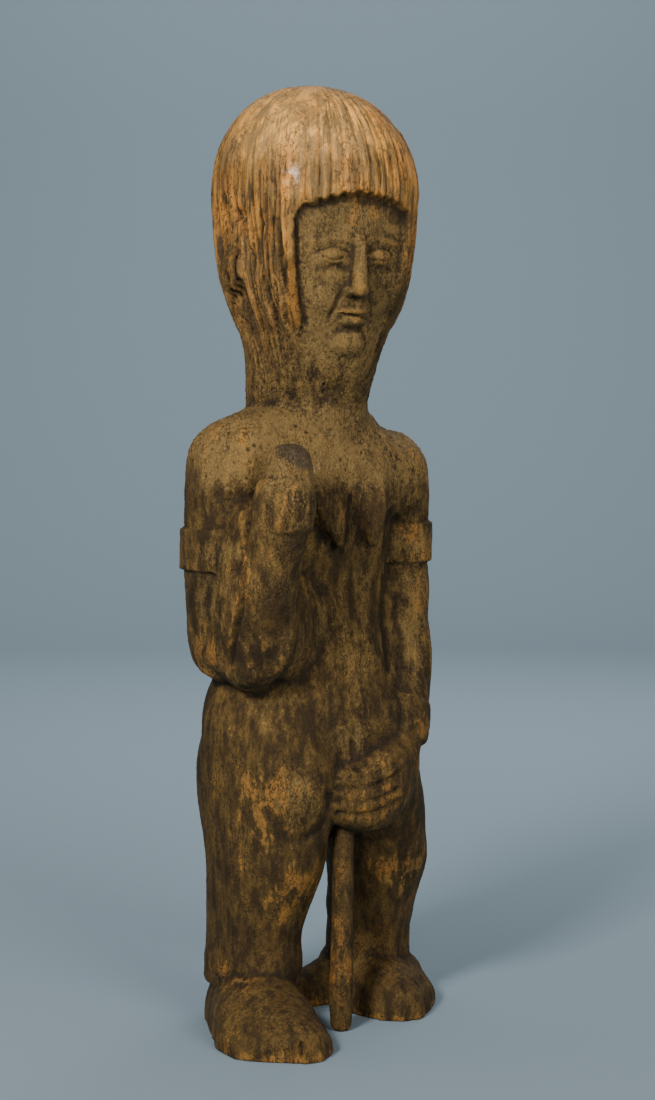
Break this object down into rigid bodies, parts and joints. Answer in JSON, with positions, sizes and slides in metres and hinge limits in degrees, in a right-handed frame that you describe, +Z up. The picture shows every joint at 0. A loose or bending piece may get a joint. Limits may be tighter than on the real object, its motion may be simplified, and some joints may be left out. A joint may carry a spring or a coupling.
{
  "type": "carved standing figure",
  "caption": "Standing carved wood figure with combed hair, armlets, a raised fist and a lowered hand resting on a short staff, all cut from a single block with flat soles",
  "frame": {"origin": "centre of the figure's outline seen from above, at the level of the soles", "axes": "+Z up from the soles to the crown, the figure faces -Y, its own right arm (the raised one) is on the -X side"},
  "size_m": [0.2882, 0.2416, 0.9],
  "materials": {
    "carved_wood": "matt old carved hardwood, dark brown with worn ochre patches, grey-brown crust on neck and shoulders"
  },
  "bodies": {
    "root": {"figure": "carved_wood"}
  },
  "joints": []
}
